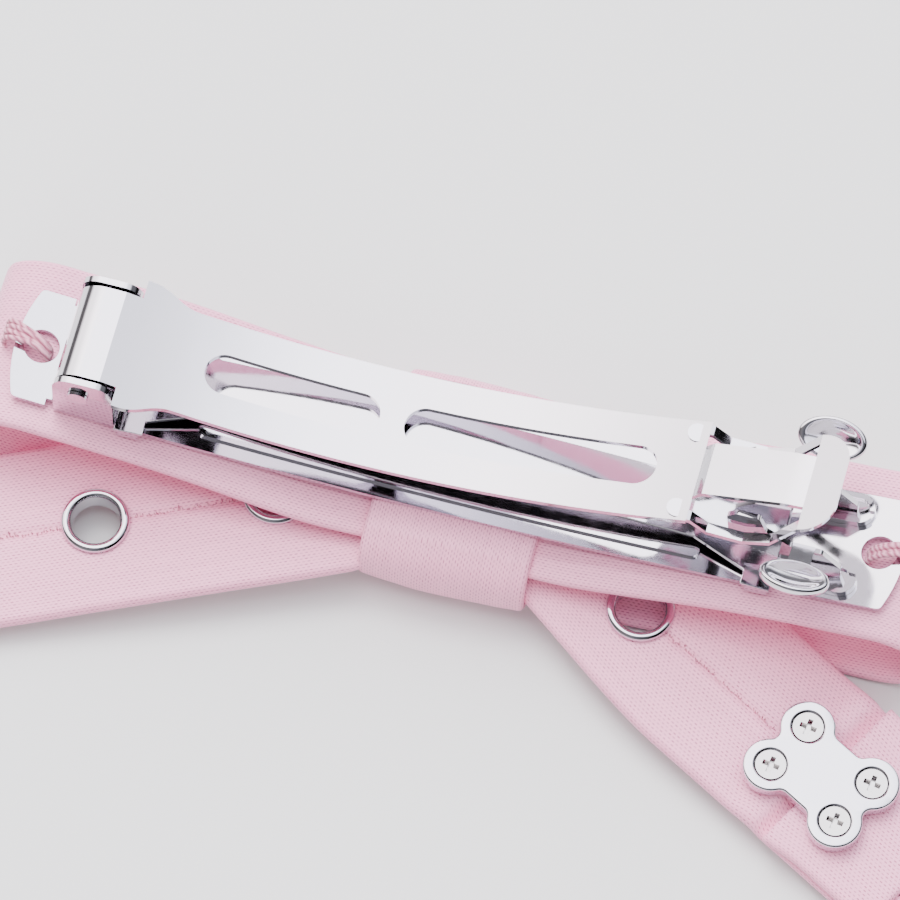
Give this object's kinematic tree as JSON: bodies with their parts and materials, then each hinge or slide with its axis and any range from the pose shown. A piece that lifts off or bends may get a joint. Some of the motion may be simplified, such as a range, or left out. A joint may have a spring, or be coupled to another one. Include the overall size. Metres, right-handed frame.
{
  "type": "barrette bow",
  "caption": "Sprung hair barrette with a curved hinged arm and squeeze catch, sewn to the back of a flat ribbon bow with tails, metal eyelets and a screwed lobed plate.",
  "frame": {"origin": "middle of the knot's flat front face, on the surface that the bow lies on, below the middle of the barrette", "axes": "+X along the barrette from its hinge to its catch, +Y across it away from the tails, +Z from the bow's front face to the hair side"},
  "size_m": [0.1074, 0.0397, 0.0234],
  "materials": {
    "polished_nickel": "polished nickel plate on stamped spring steel",
    "satin_ribbon": "woven satin ribbon, pale pink, soft sheen",
    "sewing_thread": "twisted sewing thread, dusty pink",
    "screw_steel": "machined cross-recess screws, slightly duller than the plate"
  },
  "bodies": {
    "root": {"base_plate": "polished_nickel", "tension_bar": "polished_nickel", "hinge_pin": "polished_nickel", "near_catch_foot": "polished_nickel", "far_catch_foot": "polished_nickel", "eyelet_left_inner": "polished_nickel", "eyelet_left_middle": "polished_nickel", "eyelet_left_outer": "polished_nickel", "eyelet_right": "polished_nickel", "clamp_plate_back": "polished_nickel", "clamp_plate_front": "polished_nickel", "bow_loops": "satin_ribbon", "knot_wrap": "satin_ribbon", "left_tail": "satin_ribbon", "right_tail": "satin_ribbon", "left_tail_seam": "sewing_thread", "right_tail_seam": "sewing_thread", "left_sewing_thread": "sewing_thread", "right_sewing_thread": "sewing_thread", "clamp_screws": "screw_steel"},
    "arm": {"clamp_arm": "polished_nickel"},
    "near_wing": {"near_catch_wing": "polished_nickel"},
    "far_wing": {"far_catch_wing": "polished_nickel"}
  },
  "joints": [
    {"name": "arm_hinge", "type": "hinge", "parent": "root", "child": "arm", "pos_m": [-0.0329, 0, 0.01406], "axis": [0, -1, 0], "range_deg": [0, 100]},
    {"name": "near_wing_squeeze", "type": "hinge", "parent": "root", "child": "near_wing", "pos_m": [0.03325, -0.00308, 0.0106], "axis": [-0.9942, 0, -0.1078], "range_deg": [0, 5], "stiffness_Nm_per_rad": 0.02},
    {"name": "far_wing_squeeze", "type": "hinge", "parent": "root", "child": "far_wing", "pos_m": [0.03325, 0.00308, 0.0106], "axis": [0.9942, 0, 0.1078], "range_deg": [0, 5], "stiffness_Nm_per_rad": 0.02}
  ]
}
